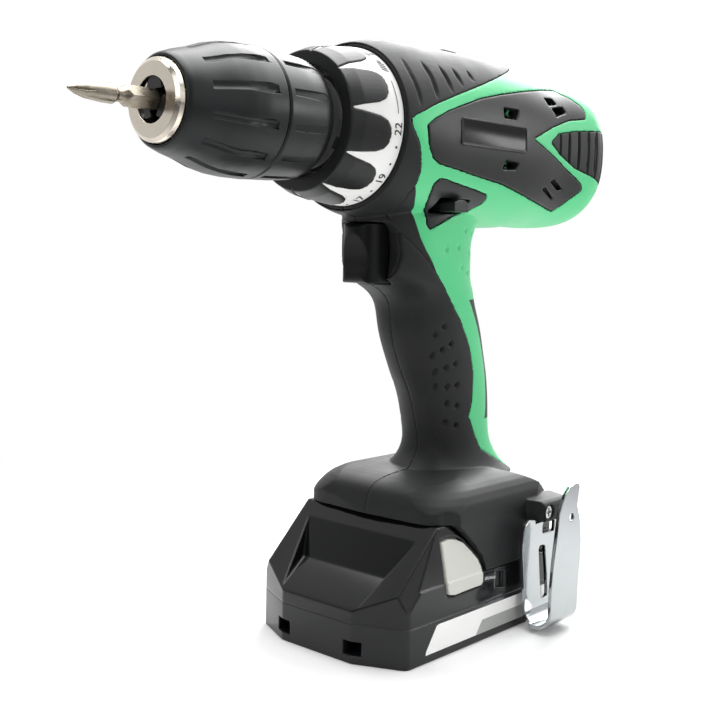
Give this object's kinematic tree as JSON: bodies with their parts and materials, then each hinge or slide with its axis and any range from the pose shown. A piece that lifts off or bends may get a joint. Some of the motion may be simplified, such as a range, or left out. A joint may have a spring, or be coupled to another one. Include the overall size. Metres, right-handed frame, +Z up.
{
  "type": "cordless drill",
  "caption": "Cordless pistol-grip drill driver with keyless chuck, torque ring, two-speed gearing, trigger, reversing lever, belt hook and slide-off battery pack.",
  "frame": {"origin": "centre of the battery pack's flat underside, on which the drill stands", "axes": "+Z up, the chuck points along -X, the operator's left side is -Y"},
  "size_m": [0.269, 0.1023, 0.2346],
  "materials": {
    "black_plastic": "fine spark-eroded texture",
    "board": "lacquered laminate",
    "cast_alloy": "as cast",
    "cell_sleeve": "shrink sleeve",
    "chromed": "bright plating",
    "copper": "enamelled winding wire and commutator",
    "dark_steel": "blackened or oiled",
    "gloss_black": "polished sloping faces, satin sides",
    "green_abs": "satin moulded glass-filled nylon, emerald green",
    "grey_plastic": "satin",
    "magnet": "ferrite",
    "soft_black": "matte soft-touch overmould",
    "steel": "turned and ground",
    "white_band": "satin"
  },
  "bodies": {
    "housing": {"housing_left": "green_abs", "housing_right": "green_abs", "grip_left": "soft_black", "grip_right": "soft_black", "side_panel_left": "black_plastic", "side_panel_right": "black_plastic", "rear_pad_left": "soft_black", "rear_pad_right": "soft_black", "lever_bezels": "black_plastic", "housing_screws": "dark_steel", "gearcase": "cast_alloy", "gearcase_cover": "cast_alloy", "fixed_ring_gear": "steel", "motor_can": "steel", "motor_magnets": "magnet", "brush_plate": "black_plastic", "motor_brushes": "magnet", "ball_bearings": "steel", "switch_body": "black_plastic", "terminal_block": "black_plastic", "trigger_spring": "steel", "clutch_spring": "steel", "belt_hook": "chromed", "hook_screw": "dark_steel"},
    "speed_shift": {"speed_slider": "black_plastic", "shift_ring_gear": "steel"},
    "torque_ring": {"clutch_ring": "black_plastic", "clutch_band": "white_band"},
    "torque_nut": {"clutch_nut": "cast_alloy"},
    "motor": {"motor_shaft": "steel", "armature": "copper", "cooling_fan": "black_plastic"},
    "carrier": {"first_carrier": "steel"},
    "chuck": {"spindle": "steel", "chuck_body": "steel", "rear_sleeve": "black_plastic", "chuck_screw": "dark_steel"},
    "sleeve": {"front_sleeve": "black_plastic", "jaw_nut": "dark_steel"},
    "bit": {"screwdriver_bit": "steel"},
    "trigger": {"trigger": "black_plastic"},
    "lever": {"reversing_lever": "black_plastic"},
    "battery": {"battery_base": "gloss_black", "battery_top": "gloss_black", "battery_cells": "cell_sleeve", "battery_board": "board", "battery_screws": "dark_steel", "latch_spring_left": "steel", "latch_spring_right": "steel"},
    "latch_left": {"latch_button_left": "grey_plastic"},
    "latch_right": {"latch_button_right": "grey_plastic"},
    "jaw_1": {"jaw_1": "steel"},
    "input_planet_1": {"input_planet_1": "steel"},
    "output_planet_1": {"output_planet_1": "steel"},
    "jaw_2": {"jaw_2": "steel"},
    "input_planet_2": {"input_planet_2": "steel"},
    "output_planet_2": {"output_planet_2": "steel"},
    "jaw_3": {"jaw_3": "steel"},
    "input_planet_3": {"input_planet_3": "steel"},
    "output_planet_3": {"output_planet_3": "steel"}
  },
  "joints": [
    {"name": "motor_spin", "type": "hinge", "parent": "housing", "child": "motor", "pos_m": [0.03, 0, 0.1995], "axis": [1, 0, 0], "continuous": true},
    {"name": "carrier_spin", "type": "hinge", "parent": "housing", "child": "carrier", "pos_m": [-0.025, 0, 0.1995], "axis": [1, 0, 0], "continuous": true},
    {"name": "spindle_spin", "type": "hinge", "parent": "housing", "child": "chuck", "pos_m": [-0.06, 0, 0.1995], "axis": [1, 0, 0], "continuous": true},
    {"name": "input_planet_1_spin", "type": "hinge", "parent": "carrier", "child": "input_planet_1", "pos_m": [-0.02, 0.01217, 0.1995], "axis": [1, 0, 0], "continuous": true},
    {"name": "output_planet_1_spin", "type": "hinge", "parent": "chuck", "child": "output_planet_1", "pos_m": [-0.032, 0.01217, 0.1995], "axis": [1, 0, 0], "continuous": true},
    {"name": "input_planet_2_spin", "type": "hinge", "parent": "carrier", "child": "input_planet_2", "pos_m": [-0.02, -0.00609, 0.21004], "axis": [1, 0, 0], "continuous": true},
    {"name": "output_planet_2_spin", "type": "hinge", "parent": "chuck", "child": "output_planet_2", "pos_m": [-0.032, -0.00609, 0.21004], "axis": [1, 0, 0], "continuous": true},
    {"name": "input_planet_3_spin", "type": "hinge", "parent": "carrier", "child": "input_planet_3", "pos_m": [-0.02, -0.00609, 0.18896], "axis": [1, 0, 0], "continuous": true},
    {"name": "output_planet_3_spin", "type": "hinge", "parent": "chuck", "child": "output_planet_3", "pos_m": [-0.032, -0.00609, 0.18896], "axis": [1, 0, 0], "continuous": true},
    {"name": "sleeve_turn", "type": "hinge", "parent": "chuck", "child": "sleeve", "pos_m": [-0.115, 0, 0.1995], "axis": [1, 0, 0], "range_deg": [0, 2700]},
    {"name": "jaw_1_slide", "type": "slide", "parent": "chuck", "child": "jaw_1", "axis": [0.9659, 0, 0.2588], "range_m": [0, 0.01164]},
    {"name": "jaw_2_slide", "type": "slide", "parent": "chuck", "child": "jaw_2", "axis": [0.9659, -0.2241, -0.1294], "range_m": [0, 0.01164]},
    {"name": "jaw_3_slide", "type": "slide", "parent": "chuck", "child": "jaw_3", "axis": [0.9659, 0.2241, -0.1294], "range_m": [0, 0.01164]},
    {"name": "bit_out", "type": "slide", "parent": "chuck", "child": "bit", "axis": [-1, 0, 0], "range_m": [0, 0.045]},
    {"name": "torque_ring_turn", "type": "hinge", "parent": "housing", "child": "torque_ring", "pos_m": [-0.06, 0, 0.1995], "axis": [-1, 0, 0], "range_deg": [0, 295], "deforming": ["clutch_spring"]},
    {"name": "torque_nut_slide", "type": "slide", "parent": "housing", "child": "torque_nut", "axis": [-1, 0, 0], "range_m": [0, 0.00481]},
    {"name": "speed_slide", "type": "slide", "parent": "housing", "child": "speed_shift", "axis": [1, 0, 0], "range_m": [0, 0.007]},
    {"name": "trigger_pull", "type": "slide", "parent": "housing", "child": "trigger", "axis": [1, 0, 0], "range_m": [0, 0.007], "stiffness_N_per_m": 700, "springref_m": -0.004, "deforming": ["trigger_spring"]},
    {"name": "reversing_lever_turn", "type": "hinge", "parent": "housing", "child": "lever", "pos_m": [-0.0105, 0, 0.1718], "axis": [0, 0, 1], "range_deg": [-8, 8]},
    {"name": "battery_slide", "type": "slide", "parent": "housing", "child": "battery", "axis": [-1, 0, 0], "range_m": [0, 0.112]},
    {"name": "latch_left_press", "type": "slide", "parent": "battery", "child": "latch_left", "axis": [0, 1, 0], "range_m": [0, 0.003], "stiffness_N_per_m": 900, "springref_m": -0.003, "deforming": ["latch_spring_left"]},
    {"name": "latch_right_press", "type": "slide", "parent": "battery", "child": "latch_right", "axis": [0, -1, 0], "range_m": [0, 0.003], "stiffness_N_per_m": 900, "springref_m": -0.003, "deforming": ["latch_spring_right"]}
  ],
  "couplings": [
    {"joint": "carrier_spin", "follows": "motor_spin", "ratio": 0.27778},
    {"joint": "spindle_spin", "follows": "motor_spin", "ratio": 0.077161},
    {"joint": "input_planet_1_spin", "follows": "motor_spin", "ratio": -0.90278},
    {"joint": "output_planet_1_spin", "follows": "motor_spin", "ratio": -0.25077},
    {"joint": "input_planet_2_spin", "follows": "motor_spin", "ratio": -0.90278},
    {"joint": "output_planet_2_spin", "follows": "motor_spin", "ratio": -0.25077},
    {"joint": "input_planet_3_spin", "follows": "motor_spin", "ratio": -0.90278},
    {"joint": "output_planet_3_spin", "follows": "motor_spin", "ratio": -0.25077},
    {"joint": "jaw_1_slide", "follows": "sleeve_turn", "m_per_rad": 0.00024597},
    {"joint": "jaw_2_slide", "follows": "sleeve_turn", "m_per_rad": 0.00024597},
    {"joint": "jaw_3_slide", "follows": "sleeve_turn", "m_per_rad": 0.00024597},
    {"joint": "torque_nut_slide", "follows": "torque_ring_turn", "m_per_rad": 0.00093227}
  ]
}
